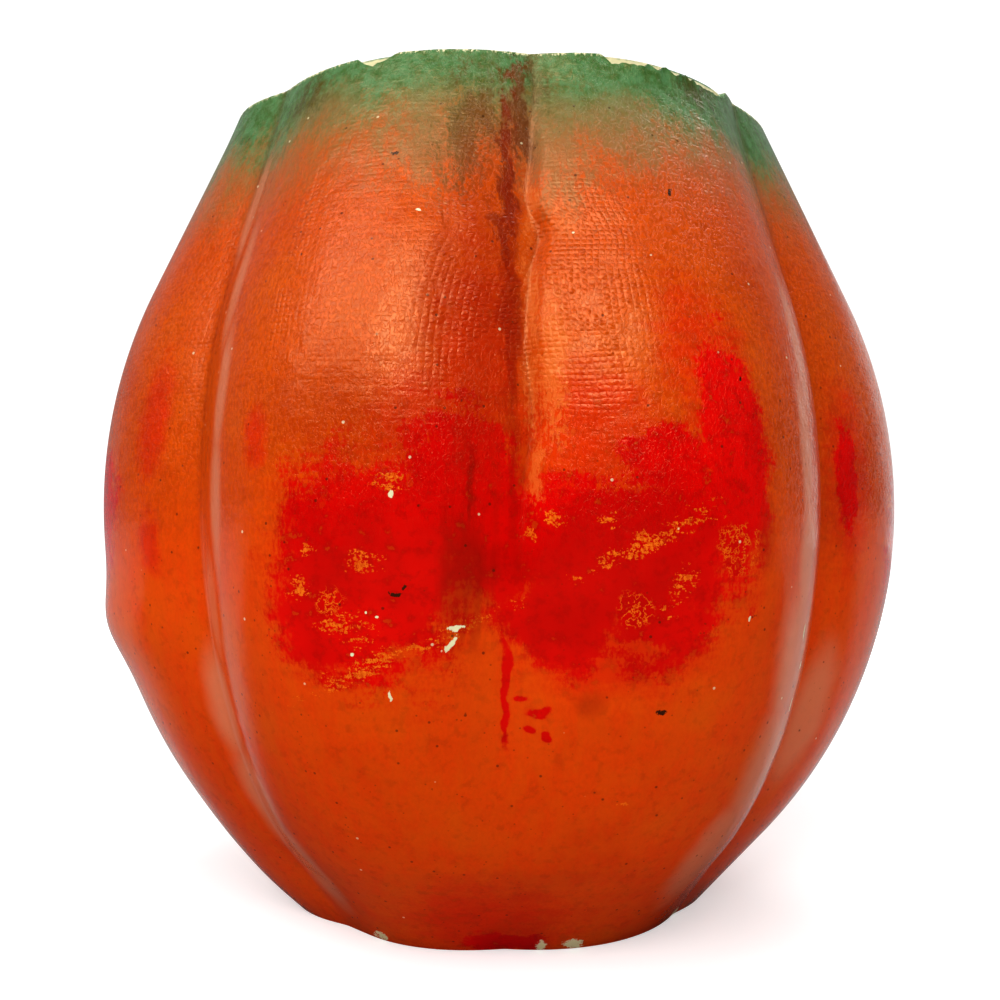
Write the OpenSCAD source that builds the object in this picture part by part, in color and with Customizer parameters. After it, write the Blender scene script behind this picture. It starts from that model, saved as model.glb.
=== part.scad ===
// Tomato pincushion: a lobed shell of moulded pulp in two halves, covered by painted cloth gores,
// packed with sawdust, with a velvet pin cushion pressed into its mouth.

/* [Body] */
// Greatest width, over the crests of the lobes
body_d = 76; // [70:1:90]
// Height from the resting face to the rim
body_h = 73.5; // [70:0.5:80]
// Height of the widest place
belly_z = 37.5; // [35:0.5:40]
// Width across the rim, over the crests
rim_d = 52; // [50:1:56]
// Width across the foot, over the crests
foot_d = 40; // [38:1:44]
// Radius of the arc that a crest follows round the belly
crest_arc_r = 46; // [44:1:48]
// Radius of each lobe, across its crest
lobe_r = 17; // [16:0.5:18]

/* [Cloth gores] */
// Thickness of the cloth with its ground and paint
cloth_t = 0.6; // [0.4:0.1:0.8]

/* [Pulp shell] */
// Wall under the crest of a lobe at the belly, with the cloth
crest_wall = 8; // [7.5:0.5:8.5]
// Width of the mouth
mouth_d = 44; // [42:1:44]
// Depth of the straight throat below the rim
throat_depth = 6; // [4:0.5:8]
// Inside width at the floor of the shell
floor_d = 34; // [32:1:34]
// Height of the floor of the shell
floor_z = 4; // [3.5:0.5:5]
// Width of the filling hole
filling_hole_d = 25; // [20:1:27]
// Width of the paper strips across the joints
strip_w = 11; // [8:1:14]
// Thickness of the paper strips
strip_t = 0.6; // [0.4:0.1:0.8]

/* [Base and filling] */
// Width of the pasteboard disc
base_disc_d = 30; // [28:1:32]
// Thickness of the pasteboard disc
base_disc_t = 2; // [1.5:0.5:2.5]
// Height of the sawdust at the wall
sawdust_z = 60; // [56:1:61]

/* [Cushion] */
// Height of the crown above the rim
crown_h = 5; // [3:0.5:6]
// Depth of the cushion below the rim
cushion_depth = 28.5; // [26:0.5:30]
// Thickness of the velvet
velvet_t = 0.9; // [0.6:0.1:1.2]
// Swell of the cushion below the throat
swell = 1.2; // [0.6:0.1:1.6]
// Radius of the gathered neck under the cushion
neck_r = 3; // [2.5:0.1:4]
// Thickness of the gathering thread
thread_d = 0.8; // [0.5:0.1:1]

/* [Hidden] */
$fn = 96;

// Directions of the seven crests, in degrees from the front (-Y) towards the right (+X)
crest_angles = [27, 82, 134, 187, 239, 291, 337];
lobes = len(crest_angles);
rear_lobe = 3;
lobe_steps = 12;
height_steps = 20;
arc_steps = 12;
past = 1;
far = 2 * body_d;

// A crest runs up a straight flank, round an arc and up a second flank to the rim. The lobe is a
// tube whose outside follows that line, so it leans with the flanks.
arc_axis_x = body_d / 2 - crest_arc_r;
rim_lean = flank_lean(crest_arc_r, rim_d / 2, body_h - belly_z);
foot_lean = flank_lean(crest_arc_r, foot_d / 2, belly_z);
flank_l = body_h / 2;

// Lean of the line from a point at radius end_r, rise away from the belly, that touches the arc
function flank_lean(arc_r, end_r, rise) =
    let (run = end_r - arc_axis_x)
    atan2(rise, run) - acos(arc_r / norm([run, rise]));

// Direction of the groove before lobe i, midway between its two crests
function groove_angle(i) = (crest_angle(i - 1) + crest_angle(i)) / 2;
function crest_angle(i) = crest_angles[(i + lobes) % lobes] + 360 * floor(i / lobes);

// Radius of a line of revolution about the arc's axis, or of its straight flank, at a height
function arc_or_flank(arc_r, lean_up, lean_down, z) =
    let (rise = abs(z - belly_z), lean = z > belly_z ? lean_up : lean_down)
    arc_axis_x + (rise < arc_r * sin(lean)
        ? sqrt(arc_r * arc_r - rise * rise)
        : (arc_r - rise * sin(lean)) / cos(lean));

// Point on the pulp surface of lobe i: across turns round the tube from the crest, at height z
function pulp_point(i, across, z) =
    let (reach = crest_arc_r - lobe_r + pulp_lobe_r * cos(across),
         out = arc_or_flank(reach, rim_lean, foot_lean, z),
         side = pulp_lobe_r * sin(across), turn = crest_angle(i))
    [out * sin(turn) + side * cos(turn), side * sin(turn) - out * cos(turn), z];
pulp_lobe_r = lobe_r - cloth_t;

// Turn round the tube at which lobe i meets the groove plane half degrees from its crest
function groove_turn(half, z, low = 0, high = 90, tries = 24) =
    let (mid = (low + high) / 2,
         reach = crest_arc_r - lobe_r + pulp_lobe_r * cos(mid),
         short = pulp_lobe_r * sin(mid) < tan(half) * arc_or_flank(reach, rim_lean, foot_lean, z))
    tries == 0 ? mid
    : short ? groove_turn(half, z, mid, high, tries - 1)
    : groove_turn(half, z, low, mid, tries - 1);

// Points round lobe i at height z, from share a to share b of its width, where 0 is the crest
function lobe_row(i, z, a, b) =
    let (before = groove_turn(crest_angle(i) - groove_angle(i), z),
         after = groove_turn(groove_angle(i + 1) - crest_angle(i), z),
         steps = lobe_steps * (b - a) / 2)
    [for (k = [0 : steps]) let (x = a + (b - a) * k / steps)
        pulp_point(i, x * (x < 0 ? before : after), z)];

function without_last(list) = [for (k = [0 : len(list) - 2]) list[k]];

// One row of a half shell: the whole lobes first to last, and half of the rear lobe
function right_row(z) =
    [each without_last(lobe_row(0, z, -1, 1)), each without_last(lobe_row(1, z, -1, 1)),
     each without_last(lobe_row(2, z, -1, 1)), each lobe_row(rear_lobe, z, -1, 0)];
function left_row(z) =
    [each without_last(lobe_row(rear_lobe, z, 0, 1)), each without_last(lobe_row(4, z, -1, 1)),
     each without_last(lobe_row(5, z, -1, 1)), each lobe_row(6, z, -1, 1)];

// Solid from the axis out to a stack of rows that all have the same number of points
module solid_to_axis(rows) {
    n = len(rows[0]) + 1;
    points = [for (row = rows) each [[0, 0, row[0].z], each row]];
    top = (len(rows) - 1) * n;
    polyhedron(points, [
        for (j = [0 : len(rows) - 2]) for (i = [0 : n - 1])
            let (a = j * n + i, b = j * n + (i + 1) % n)
            each [[a, a + n, b], [b, a + n, b + n]],
        for (i = [1 : n - 2]) each [[0, i, i + 1], [top, top + i + 1, top + i]]
    ]);
}

// A lobe's tube from the belly up to a flank's end, with a flat section of the tube as its children.
// Its arc starts past the belly, to be cut off level there.
module tube_from_belly(lean) {
    rotate([0, -lean, 0]) {
        translate([crest_arc_r - lobe_r, 0, 0]) linear_extrude(flank_l) children();
        rotate([90, 0, 0]) rotate_extrude(angle = -lean - past)
            translate([crest_arc_r - lobe_r, 0]) children();
    }
}

module wedge(from, to, height) {
    linear_extrude(height)
        polygon([[0, 0], far * [sin(from), -cos(from)], far * [sin(to), -cos(to)]]);
}

// Half of a gore, above or mirrored below the belly: a thin skin on the outside of the lobe's tube,
// between its two groove planes
module half_gore(i, lean, height) {
    intersection() {
        rotate(crest_angle(i) - 90) translate([arc_axis_x, 0, 0]) tube_from_belly(lean)
            intersection() {
                difference() {
                    circle(lobe_r);
                    circle(pulp_lobe_r);
                }
                translate([lobe_r / 4, -lobe_r]) square(2 * lobe_r);
            }
        wedge(groove_angle(i), groove_angle(i + 1), height);
    }
}

// One gore of cloth, pasted over lobe i
module gore(i) {
    translate([0, 0, belly_z]) {
        half_gore(i, rim_lean, body_h - belly_z);
        mirror([0, 0, 1]) half_gore(i, foot_lean, belly_z);
    }
}

// Inside of the shell: a line of revolution like the crest's, in straight steps
throat_z = body_h - throat_depth;
mouth_lean = flank_lean(crest_arc_r - crest_wall, mouth_d / 2, throat_z - belly_z);
floor_lean = flank_lean(crest_arc_r - crest_wall, floor_d / 2, belly_z - floor_z);
wall_heights = [for (k = [0 : arc_steps]) floor_z + (throat_z - floor_z) * k / arc_steps];
wall_radii = [for (z = wall_heights)
    [z, arc_or_flank(crest_arc_r - crest_wall, mouth_lean, floor_lean, z)]];
function wall_line(from, to, inset = 0) =
    [for (z = [from, for (h = wall_heights) if (h > from && h < to) h, to])
        [lookup(z, wall_radii) - inset, z]];

module cavity() {
    rotate_extrude() polygon([[0, -past], [base_disc_d / 2, -past], [base_disc_d / 2, base_disc_t],
        [filling_hole_d / 2, base_disc_t], [filling_hole_d / 2, floor_z],
        each wall_line(floor_z, throat_z), [mouth_d / 2, body_h + past], [0, body_h + past]]);
}

module half_shell(rows) {
    difference() {
        solid_to_axis(rows);
        cavity();
    }
}

heights = [for (j = [0 : height_steps]) body_h * j / height_steps];
module right_shell() { color("wheat") half_shell([for (z = heights) right_row(z)]); }
module left_shell() { color("moccasin") half_shell([for (z = heights) left_row(z)]); }

module front_right_gore() { color("orangered") gore(0); }
module right_gore() { color("tomato") gore(1); }
module rear_right_gore() { color("orangered") gore(2); }
module rear_gore() { color("tomato") gore(rear_lobe); }
module rear_left_gore() { color("orangered") gore(4); }
module left_gore() { color("tomato") gore(5); }
module front_left_gore() { color("coral") gore(6); }

// A strip of paper on the inside of the shell, across one joint, clear of the floor and the throat.
// outset thickens it into the wall, to cut its place out of the filling.
strip_from = floor_z + 3;
strip_to = throat_z - 4;
module joint_strip(angle, outset = 0) {
    intersection() {
        rotate_extrude() polygon([each wall_line(strip_from, strip_to, -outset),
            each reversed(wall_line(strip_from, strip_to, strip_t))]);
        rotate(angle) translate([-strip_w / 2, -far, 0]) cube([strip_w, far, body_h]);
    }
}
function reversed(list) = [for (k = [len(list) - 1 : -1 : 0]) list[k]];

front_joint = groove_angle(0);
rear_joint = crest_angle(rear_lobe);
module joint_strip_front() { color("tan") joint_strip(front_joint); }
module joint_strip_rear() { color("burlywood") joint_strip(rear_joint); }

module base_disc() { color("peru") cylinder(d = base_disc_d, h = base_disc_t); }

// Outline of the cushion, drawn in by inset: a low crown, a rounded edge, a straight waist in the
// throat, a swelling side below it and an underside that runs in to the gathered neck
cushion_r = mouth_d / 2;
edge_r = 3;
side_r = 12;
edge_z = body_h - edge_r;
cushion_floor = body_h - cushion_depth;
side_x = cushion_r + swell - side_r;
waist_turn = acos((side_r - swell) / side_r);
crown_r = crown_radius();
crown_axis_z = body_h + crown_h - crown_r;
crown_turn = atan2(edge_z - crown_axis_z, cushion_r - edge_r);
// The crown's arc touches the edge's arc from outside it
function crown_radius() =
    let (run = cushion_r - edge_r, rise = body_h + crown_h - edge_z)
    (run * run + rise * rise - edge_r * edge_r) / (2 * (rise - edge_r));
function arc(centre, r, from, to) =
    [for (k = [0 : arc_steps]) let (a = from + (to - from) * k / arc_steps)
        centre + r * [cos(a), sin(a)]];
function cushion_crown(inset) = [
    each arc([0, crown_axis_z], crown_r - inset, 90, crown_turn),
    each arc([cushion_r - edge_r, edge_z], edge_r - inset, crown_turn, 0)];
function cushion_side(inset) =
    arc([side_x, cushion_floor + side_r], side_r - inset, waist_turn, -90);

// The gathered velvet below the underside: a neck, and a frill that opens again under the thread
neck_l = 4;
frill_r = neck_r + 1.5;
thread_z = cushion_floor - neck_l / 2;
module cushion_cover() {
    color("olivedrab") rotate_extrude() polygon([
        each cushion_crown(0), each cushion_side(0),
        [neck_r + velvet_t, cushion_floor], [neck_r, thread_z + thread_d / 2],
        [neck_r, thread_z - thread_d / 2], [frill_r, cushion_floor - neck_l],
        [frill_r - velvet_t, cushion_floor - neck_l], [neck_r - velvet_t, thread_z],
        [neck_r, cushion_floor + velvet_t],
        each reversed(cushion_side(velvet_t)), each reversed(cushion_crown(velvet_t))]);
}

module cushion_stuffing() {
    color("linen") rotate_extrude() polygon([
        each cushion_crown(velvet_t), each cushion_side(velvet_t), [0, cushion_floor + velvet_t]]);
}

module gathering_thread() {
    color("ivory") translate([0, 0, thread_z]) rotate_extrude()
        translate([neck_r + thread_d / 2, 0]) circle(d = thread_d);
}

// Sawdust up to its level at the wall, hollowed by the cushion and its neck, and by the strips
neck_room = 2;
module sawdust_filling() {
    bed = [for (p = reversed(cushion_side(0))) if (p.y < sawdust_z && p.x > side_x) p];
    color("sandybrown") difference() {
        rotate_extrude() polygon([[0, base_disc_t], [filling_hole_d / 2, base_disc_t],
            [filling_hole_d / 2, floor_z], each wall_line(floor_z, sawdust_z),
            each reversed(bed), [side_x, cushion_floor], [frill_r + neck_room, cushion_floor],
            [frill_r + neck_room, cushion_floor - neck_l - neck_room],
            [0, cushion_floor - neck_l - neck_room]]);
        joint_strip(front_joint, past);
        joint_strip(rear_joint, past);
    }
}

right_shell();
left_shell();
front_right_gore();
right_gore();
rear_right_gore();
rear_gore();
rear_left_gore();
left_gore();
front_left_gore();
joint_strip_front();
joint_strip_rear();
base_disc();
sawdust_filling();
cushion_stuffing();
cushion_cover();
gathering_thread();
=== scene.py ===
import math

import bmesh
import bpy
import numpy as np
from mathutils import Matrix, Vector


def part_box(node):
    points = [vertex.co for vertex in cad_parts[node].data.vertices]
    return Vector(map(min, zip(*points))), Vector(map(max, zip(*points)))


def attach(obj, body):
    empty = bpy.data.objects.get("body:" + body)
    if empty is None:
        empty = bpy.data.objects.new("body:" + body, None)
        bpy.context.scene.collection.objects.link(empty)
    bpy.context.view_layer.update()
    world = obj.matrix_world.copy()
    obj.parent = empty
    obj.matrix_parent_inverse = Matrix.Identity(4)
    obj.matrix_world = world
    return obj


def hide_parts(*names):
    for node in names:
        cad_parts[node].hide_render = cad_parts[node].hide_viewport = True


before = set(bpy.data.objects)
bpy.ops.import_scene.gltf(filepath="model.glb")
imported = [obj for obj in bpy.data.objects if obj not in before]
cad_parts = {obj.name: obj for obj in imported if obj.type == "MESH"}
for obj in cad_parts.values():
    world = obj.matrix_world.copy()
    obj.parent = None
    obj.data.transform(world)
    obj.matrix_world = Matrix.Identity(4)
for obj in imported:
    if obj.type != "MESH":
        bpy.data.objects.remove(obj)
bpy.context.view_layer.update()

# Camera
# The tomato is seen level from the front, close to it and just below its middle, so that the
# rim hides the mouth. The frame is square, and the two shifts set the tomato in it.
MM = 0.001
EYE = (0.0, -115.04 * MM, 36.0 * MM)
FOCAL_SHARE = 1.1354


def placed(name, data):
    """A new object of the scene."""
    made = bpy.data.objects.new(name, data)
    bpy.context.scene.collection.objects.link(made)
    return made


camera_lens = bpy.data.cameras.new("camera")
camera_lens.sensor_width = 36.0
camera_lens.lens = FOCAL_SHARE * camera_lens.sensor_width
camera_lens.shift_x = -0.0013
camera_lens.shift_y = 0.023
camera_lens.clip_start = 10 * MM
camera = placed("camera", camera_lens)
camera.location = EYE
camera.rotation_euler = (math.radians(90), 0, 0)
bpy.context.scene.camera = camera

# Pulp shell
# The body is a thin-walled tomato of moulded paper pulp with seven lobes, pressed in two halves and
# glued along the front groove and the crest of the rear lobe. A pale ground covers it, and green
# paint runs over its rim.
BODY_D = 76.0 * MM
RIM_D = 52.0 * MM
FOOT_D = 40.0 * MM
BELLY_Z = 37.5 * MM
CREST_ARC_R = 46.0 * MM
LOBE_R = 17.0 * MM
CLOTH_T = 0.6 * MM
MOUTH_R = 22.0 * MM
THROAT = 6.0 * MM
WALL_ARC_R = CREST_ARC_R - 8.0 * MM
FLOOR_R = 17.0 * MM
FLOOR_Z = 4.0 * MM
FILLING_HOLE_R = 12.5 * MM
disc_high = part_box("base_disc")[1]
BODY_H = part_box("left_shell")[1].z
ARC_AXIS = BODY_D / 2 - CREST_ARC_R

# Directions of the crests, in degrees from the front towards the right, and the lobes' names
LOBES = {"front_right": 27, "right": 82, "rear_right": 134, "rear": 187,
         "rear_left": 239, "left": 291, "front_left": 337}
CRESTS = [math.radians(a) for a in LOBES.values()]
GROOVES = [(before + after) / 2 for before, after in
           zip([CRESTS[-1] - math.tau, *CRESTS], [*CRESTS, CRESTS[0] + math.tau])]


def flank_lean(arc_r, end_r, rise):
    """Lean of the line from radius end_r, rise away from the belly, that touches an arc about the belly."""
    run = end_r - ARC_AXIS
    return math.atan2(rise, run) - math.acos(arc_r / math.hypot(run, rise))


RIM_LEAN = flank_lean(CREST_ARC_R, RIM_D / 2, BODY_H - BELLY_Z)
FOOT_LEAN = flank_lean(CREST_ARC_R, FOOT_D / 2, BELLY_Z)

# What the maker's hand did to the form. Each groove wanders by degrees: (at the belly, at the rim, at
# the foot). A lump is (direction in degrees, height, half width in degrees, half height, rise), in
# millimetres. Paste rounds each groove by millimetres, and closes some of them towards the foot.
WANDER = [(0.6, 3.2, -1.2), (-0.5, 2.0, 2.0), (1.0, -1.0, 0.5), (-1.0, 0.8, 0.0),
          (0.8, -0.6, 1.0), (-0.6, 1.0, -1.0), (2.5, -2.5, 0.0), (0.6, 3.2, -1.2)]
WANDER_REACH = math.radians(24)
LUMPS = [(289, 27, 16, 3.5, 0.9), (295, 3, 18, 5, 0.8), (100, 30, 14, 6, 0.5), (150, 52, 15, 8, 0.5),
         (215, 20, 16, 7, 0.6), (250, 48, 12, 6, -0.4), (180, 30, 12, 9, -0.4),
         (303, 75, 12, 3, 0.4), (51, 75, 11, 4, 0.6), (320, 4, 10, 5, -0.5), (345, 54, 9, 13, 0.6)]
GROOVE_ROUND = [0.3, 0.6, 1.2, 1.2, 1.2, 1.2, 0.6, 0.3]
GROOVE_CLOSING = [7.0, 0.0, 1.2, 1.5, 1.2, 1.0, 0.0, 7.0]
GROOVE_SLOPE = (0.61, 0.4)
CLOSING_TOP = 38.0 * MM
CLOSING_FOOT = 9.0 * MM

# The front groove jogs aside by degrees: (height in millimetres, half height, jog)
JOGS = [(57.4, 1.8, 1.3), (61.0, 2.0, -0.7), (43.4, 3.0, 0.8), (50.0, 2.6, -0.4), (70.0, 2.5, 0.8)]

# The hem, a fold of cloth along the front groove, stands up within HEM_REACH of it, rises over
# HEM_WIDTH, and fades out towards the rim and the belly
HEM_WIDTH = 0.8 * MM
HEM_REACH = 6.0 * MM
HEM_END = 28.0 * MM
HEM_FADE = 16.0 * MM
HEM_TOP = 71.0 * MM
HEM_START = 7.0 * MM


def choose(test, yes, no):
    return no + test * (yes - no)


def crest_line(m, height, inset):
    """Radius of a crest at a height, and the tube's half axes there, out and across."""
    rise = m.abs(height - BELLY_Z)
    lean = choose(height > BELLY_Z, RIM_LEAN, FOOT_LEAN)
    arc_r = CREST_ARC_R - inset
    turn = m.minimum(m.arcsin(rise / arc_r), lean)
    crest = ARC_AXIS + (arc_r - rise * m.sin(turn)) / m.cos(turn)
    return crest, (LOBE_R - inset) / m.cos(turn), LOBE_R - inset


def lobe_radius(m, angle, height, inset):
    """Radius of a lobe angle away from its crest, and the turn round its tube to that point."""
    crest, out, across = crest_line(m, height, inset)
    axis = crest - out
    slope = m.tan(angle)
    spread = m.sqrt(across * across + slope * slope * out * out)
    turn = m.arcsin(slope * axis / spread) + m.arctan2(slope * out, across)
    return (axis + out * m.cos(turn)) / m.cos(angle), turn


def wander(m, direction, height):
    """How far the maker's hand turned the surface at a direction and height."""
    level = (height - BELLY_Z) / (BODY_H / 2)
    turned = 0.0
    for groove, (belly, rim, foot) in zip(GROOVES, WANDER):
        away = (direction - groove) / WANDER_REACH
        near = m.maximum(1.0 - away * away, 0.0)
        bend = (rim + foot) / 2 - belly
        swing = belly + level * ((rim - foot) / 2) + level * level * bend
        if groove in (GROOVES[0], GROOVES[-1]):
            for high, half_height, jog in JOGS:
                above = (height - high * MM) / (half_height * MM)
                swing = swing + m.exp(-1.0 * above * above) * jog
        turned = turned + near * near * swing * math.radians(1)
    return turned


def lumps(m, direction, height):
    """How far the maker's lumps stand out at a direction and height."""
    raised = 0.0
    for at, high, half_width, half_height, rise in LUMPS:
        aside = (direction - math.radians(at)) / math.radians(half_width)
        above = (height - high * MM) / (half_height * MM)
        raised = raised + m.exp(-1.0 * (aside * aside + above * above)) * (rise * MM)
    return raised


def unit(m, value):
    """A value held between 0 and 1."""
    return m.minimum(m.maximum(value, 0.0), 1.0)


def filled(m, away, height, rounding, closing):
    """How far paste rounds out the corner of a groove, at a way from it."""
    low = unit(m, (CLOSING_TOP - height) / CLOSING_TOP) * m.minimum(height / CLOSING_FOOT, 1.0)
    width = (rounding + low * closing) * MM
    level = (height - BELLY_Z) / BELLY_Z
    steepest, easing = GROOVE_SLOPE
    slope = steepest - level * level * easing
    return slope * (m.sqrt(away * away + width * width) - away)


def lobe_point(m, crest, before, after, direction, height, inset, hem, paste):
    """Place on a lobe between its grooves before and after, the turn round its tube, and the radius.
    hem is how far its first edge stands up, as a fold of cloth, and paste fills its two grooves."""
    radius, turn = lobe_radius(m, direction - crest, height, inset)
    from_before = (direction - before) * radius
    from_after = (after - direction) * radius
    valley = filled(m, from_before, height, *paste[:2]) + filled(m, from_after, height, *paste[2:])
    fading = unit(m, (height - HEM_END) / HEM_FADE) * unit(m, (HEM_TOP - height) / HEM_START)
    step = 1.0 - m.exp(-1.0 / (HEM_WIDTH * HEM_WIDTH) * from_before * from_before)
    fold = step * m.exp(-1.0 / HEM_REACH * from_before) * hem * fading
    radius = radius + valley + fold + lumps(m, direction, height)
    turned = direction + wander(m, direction, height)
    return radius * m.sin(turned), -1.0 * radius * m.cos(turned), turn, radius


def paste_of(lobe):
    """Rounding and closing of the grooves before and after a lobe."""
    return (GROOVE_ROUND[lobe], GROOVE_CLOSING[lobe], GROOVE_ROUND[lobe + 1], GROOVE_CLOSING[lobe + 1])


# A half shell is a loop of points, the wall's section, carried round from one joint to the other
WALL_STEPS = 14
OUTSIDE_STEPS = 48
RIM_STEPS = 8
STRIP_STEPS = 40
MOUTH_ROUND = 1.4 * MM


def wall_inside():
    """Radius and height of the cavity from the throat down to the recess of the base disc."""
    throat_z = BODY_H - THROAT
    up = flank_lean(WALL_ARC_R, MOUTH_R, throat_z - BELLY_Z)
    down = flank_lean(WALL_ARC_R, FLOOR_R, BELLY_Z - FLOOR_Z)
    points = []
    for z in np.linspace(throat_z, FLOOR_Z, WALL_STEPS):
        rise = abs(z - BELLY_Z)
        lean = min(math.asin(rise / WALL_ARC_R), up if z > BELLY_Z else down)
        points.append((ARC_AXIS + (WALL_ARC_R - rise * math.sin(lean)) / math.cos(lean), z))
    return points + [(FILLING_HOLE_R, FLOOR_Z), (FILLING_HOLE_R, disc_high.z),
                     (disc_high.x, disc_high.z), (disc_high.x, 0.0)]


def rim_inside():
    """Radius and height from the flat of the rim round the mouth's edge to the throat."""
    turns = np.linspace(0, math.pi / 2, RIM_STEPS)
    return [(MOUTH_R + MOUTH_ROUND - MOUTH_ROUND * math.sin(a),
             BODY_H - MOUTH_ROUND + MOUTH_ROUND * math.cos(a)) for a in turns]


def pulp_half(name, spans):
    """One half shell over spans of (lobe, from, to), closed at both joints."""
    inside = rim_inside() + wall_inside()
    heights = np.linspace(0, BODY_H, OUTSIDE_STEPS)
    loops = []
    for lobe, start, end in spans:
        for direction in np.linspace(start, end, STRIP_STEPS)[0 if lobe == spans[0][0] else 1:]:
            x, y, _, _ = lobe_point(np, CRESTS[lobe], GROOVES[lobe], GROOVES[lobe + 1],
                                    direction, heights, CLOTH_T, 0.0, paste_of(lobe))
            outside = list(zip(x, y, heights))
            turned = direction + wander(np, direction, heights[-1])
            ring = [(r * math.sin(turned), -r * math.cos(turned), z) for r, z in inside]
            loops.append(outside + ring)
    bm = bmesh.new()
    rows = [[bm.verts.new(p) for p in loop] for loop in loops]
    for one, two in zip(rows, rows[1:]):
        for k in range(len(one)):
            after = (k + 1) % len(one)
            bm.faces.new((one[k], two[k], two[after], one[after]))
    bm.faces.new(rows[0])
    bm.faces.new(reversed(rows[-1]))
    bmesh.ops.triangulate(bm, faces=[f for f in bm.faces if len(f.verts) > 4])
    bmesh.ops.recalc_face_normals(bm, faces=bm.faces)
    return finished(name, bm)


def smoothed(piece, crease):
    """The piece, shaded smooth, and sharp where faces meet at more than crease degrees."""
    piece.data.shade_smooth()
    piece.data.set_sharp_from_angle(angle=math.radians(crease))
    return piece


def finished(name, bm, crease=35):
    """A smooth-shaded object from a bmesh."""
    mesh = bpy.data.meshes.new(name)
    bm.to_mesh(mesh)
    bm.free()
    return smoothed(placed(name, mesh), crease)


def stand_for(piece, node, material):
    """The piece takes its material and stands for its node on the one body."""
    piece.data.materials.clear()
    piece.data.materials.append(material)
    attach(piece, "root")
    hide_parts(node)


class Wire:
    """A value in a node tree. Arithmetic on wires adds Math nodes to the tree."""

    def __init__(self, tree, socket):
        self.tree = tree
        self.socket = socket

    def math(self, operation, first, second=None):
        return TreeMaths(self.tree).node(operation, first, second)

    def __add__(self, other):
        return self.math("ADD", self, other)

    def __radd__(self, other):
        return self.math("ADD", other, self)

    def __sub__(self, other):
        return self.math("SUBTRACT", self, other)

    def __rsub__(self, other):
        return self.math("SUBTRACT", other, self)

    def __mul__(self, other):
        return self.math("MULTIPLY", self, other)

    def __rmul__(self, other):
        return self.math("MULTIPLY", other, self)

    def __truediv__(self, other):
        return self.math("DIVIDE", self, other)

    def __rtruediv__(self, other):
        return self.math("DIVIDE", other, self)

    def __gt__(self, other):
        return self.math("GREATER_THAN", self, other)


class TreeMaths:
    """Math nodes under numpy's names, so that one formula serves a mesh and a node tree."""

    NAMES = {"sin": "SINE", "cos": "COSINE", "tan": "TANGENT", "arcsin": "ARCSINE",
             "arctan2": "ARCTAN2", "sqrt": "SQRT", "exp": "EXPONENT", "abs": "ABSOLUTE",
             "minimum": "MINIMUM", "maximum": "MAXIMUM"}

    def __init__(self, tree):
        self.tree = tree

    def node(self, operation, first, second=None):
        made = self.tree.nodes.new("ShaderNodeMath")
        made.operation = operation
        plug(self.tree, made.inputs[0], first)
        if second is not None:
            plug(self.tree, made.inputs[1], second)
        return Wire(self.tree, made.outputs[0])

    def __getattr__(self, name):
        operation = self.NAMES[name]
        return lambda first, second=None: self.node(operation, first, second)


def plug(tree, socket, value):
    """Wires a value to a socket, or sets the socket to a plain value."""
    if isinstance(value, Wire):
        value = value.socket
    if isinstance(value, bpy.types.NodeSocket):
        tree.links.new(value, socket)
    else:
        socket.default_value = value


def set_inputs(tree, node, inputs):
    """Plugs values into a node's inputs, by their names or numbers."""
    for name, value in inputs.items():
        plug(tree, node.inputs[name], value)


def add(tree, kind, inputs=None, **settings):
    """Adds a node with its settings and inputs."""
    made = tree.nodes.new(kind)
    for name, value in settings.items():
        setattr(made, name, value)
    set_inputs(tree, made, inputs or {})
    return made


def declare(tree, way, kind, *names):
    """Gives a node group its named inputs or outputs of one kind."""
    for name in names:
        tree.interface.new_socket(name, in_out=way, socket_type="NodeSocket" + kind)


def axes(tree, vector):
    """The three parts of a vector, as wires."""
    return [Wire(tree, part) for part in add(tree, "ShaderNodeSeparateXYZ", {0: vector}).outputs]


def joined(tree, x, y, z):
    """A vector from its three parts."""
    return add(tree, "ShaderNodeCombineXYZ", {0: x, 1: y, 2: z}).outputs[0]


def new_material(name):
    """A material, its tree, its principled shader and its Object coordinates."""
    material = bpy.data.materials.new(name)
    material.use_nodes = True
    tree = material.node_tree
    place = add(tree, "ShaderNodeTexCoord").outputs["Object"]
    return material, tree, tree.nodes["Principled BSDF"], place


def noise(tree, place, scale, detail=3.0, rough=0.5, squash=None):
    """Noise in waves per metre, drawn out by squash where it is given, as a wire."""
    if squash:
        place = add(tree, "ShaderNodeMapping", {"Vector": place, "Scale": squash}).outputs[0]
    made = add(tree, "ShaderNodeTexNoise",
               {"Vector": place, "Scale": scale, "Detail": detail, "Roughness": rough})
    return Wire(tree, made.outputs["Fac"])


def ramp(value, low, high):
    """0 below low, 1 above high and smooth between, as a wire."""
    made = add(value.tree, "ShaderNodeMapRange", {"Value": value, "From Min": low, "From Max": high},
               interpolation_type="SMOOTHSTEP")
    return Wire(value.tree, made.outputs["Result"])


def mix(share, first, second):
    """Second colour over the first by a share, which is a wire."""
    made = add(share.tree, "ShaderNodeMix", {0: share, 6: first, 7: second}, data_type="RGBA")
    return made.outputs[2]


def paint(red, green, blue):
    """A linear colour from one read as display values from 0 to 255."""
    linear = [(c / 255 / 12.92) if c <= 10 else ((c / 255 + 0.055) / 1.055) ** 2.4
              for c in (red, green, blue)]
    return (*linear, 1.0)


def bumped(tree, shader, height, distance, strength=1.0):
    """Gives the shader a bump from a height, in metres of relief."""
    made = add(tree, "ShaderNodeBump", {"Height": height, "Distance": distance, "Strength": strength})
    tree.links.new(made.outputs["Normal"], shader.inputs["Normal"])


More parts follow.
